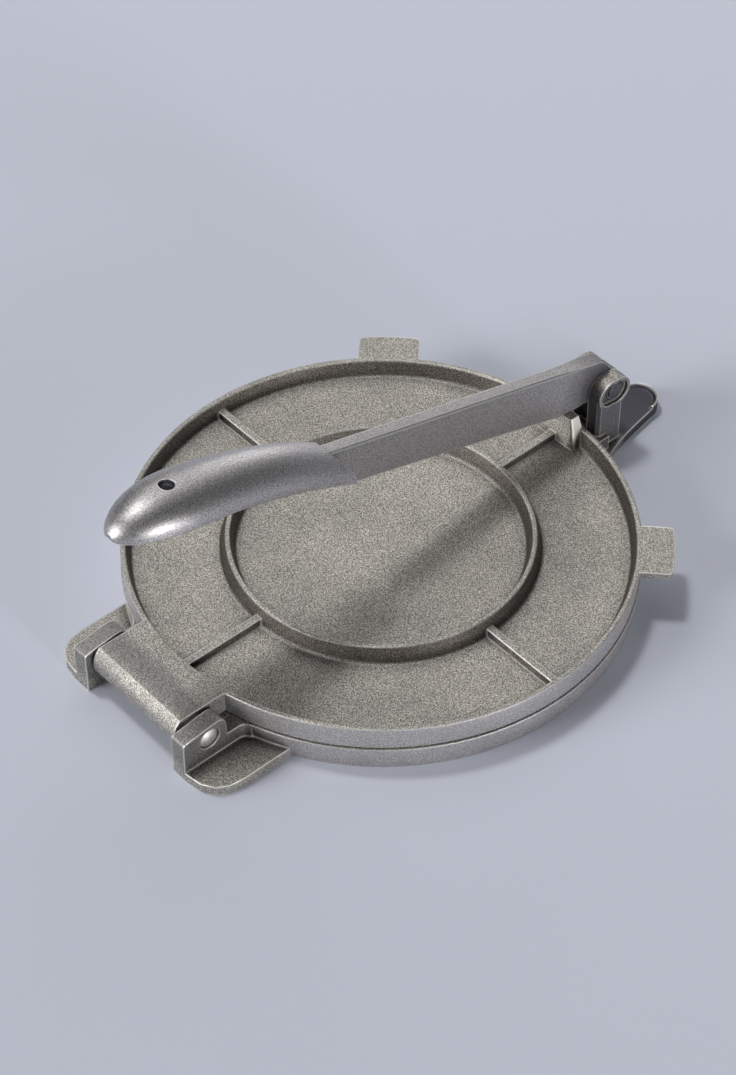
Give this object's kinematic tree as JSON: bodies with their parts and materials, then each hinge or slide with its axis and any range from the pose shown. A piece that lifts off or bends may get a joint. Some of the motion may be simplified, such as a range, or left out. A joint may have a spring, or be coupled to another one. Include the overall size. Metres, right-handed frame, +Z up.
{
  "type": "tortilla press",
  "caption": "Round sand-cast metal press with a hinged top plate and a long lever whose hollow grip bears down on a block on the rim.",
  "frame": {"origin": "on the table under the middle of the whole press", "axes": "+Z up from the table, +Y toward the plate hinge, X along both pins"},
  "size_m": [0.2006, 0.2739, 0.1117],
  "materials": {
    "cast_plate": "as sand-cast, fine grain, dull",
    "cast_lever": "as sand-cast, tumbled smoother on the grip",
    "pin_steel": "plain drawn bar, cut ends"
  },
  "bodies": {
    "base": {"base_plate": "cast_plate", "hinge_pin": "pin_steel", "lever_pin": "pin_steel"},
    "top_plate": {"top_plate": "cast_plate"},
    "lever": {"lever": "cast_lever"}
  },
  "joints": [
    {"name": "lever_swing", "type": "hinge", "parent": "base", "child": "lever", "pos_m": [0, -0.10498, 0.0303], "axis": [1, 0, 0], "range_deg": [0, 165]},
    {"name": "plate_hinge", "type": "hinge", "parent": "base", "child": "top_plate", "pos_m": [0, 0.12322, 0.0144], "axis": [-1, 0, 0], "range_deg": [0, 110]}
  ],
  "couplings": [
    {"joint": "plate_hinge", "follows": "lever_swing", "ratio": 0.08}
  ]
}
